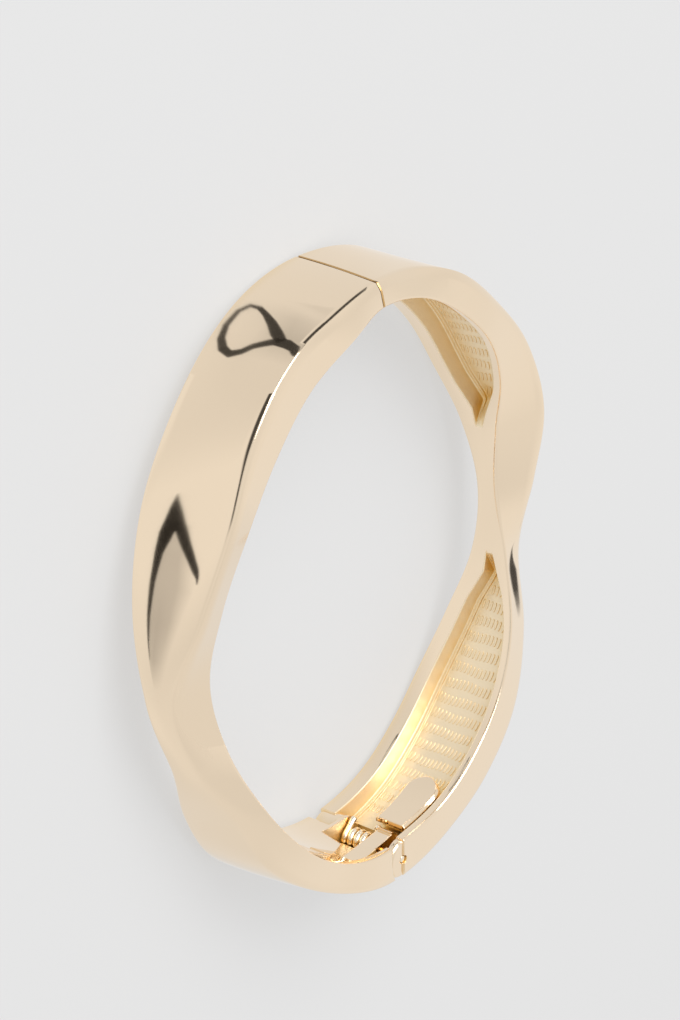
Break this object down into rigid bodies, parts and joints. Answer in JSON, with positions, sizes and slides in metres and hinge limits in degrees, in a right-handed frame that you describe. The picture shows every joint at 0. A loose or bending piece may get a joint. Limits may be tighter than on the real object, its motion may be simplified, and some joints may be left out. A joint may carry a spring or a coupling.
{
  "type": "bangle",
  "caption": "Hinged oval bangle: a polished gold-tone band pinched and turned at both sides like a twisted ribbon, hollowed inside, with a sprung hinge opposite the seam.",
  "frame": {"origin": "middle of the bounding box, on the surface that the bangle lies on", "axes": "+Z across the band, up from that surface; +Y from the hinge to the seam; +X from the front half to the back half"},
  "size_m": [0.0611, 0.0682, 0.0121],
  "materials": {
    "gold_tone": "polished pale gold plating",
    "pin_metal": "polished"
  },
  "bodies": {
    "front": {"front_half": "gold_tone", "hinge_spring": "pin_metal"},
    "back": {"back_half": "gold_tone", "hinge_plate": "gold_tone", "hinge_pin": "pin_metal"}
  },
  "joints": [
    {"name": "hinge_open", "type": "hinge", "parent": "front", "child": "back", "pos_m": [-0.00083, -0.03184, 0.006], "axis": [0, 0, -1], "range_deg": [0, 35], "stiffness_Nm_per_rad": 0.01, "springref_deg": -17.19, "deforming": ["hinge_spring"]}
  ]
}
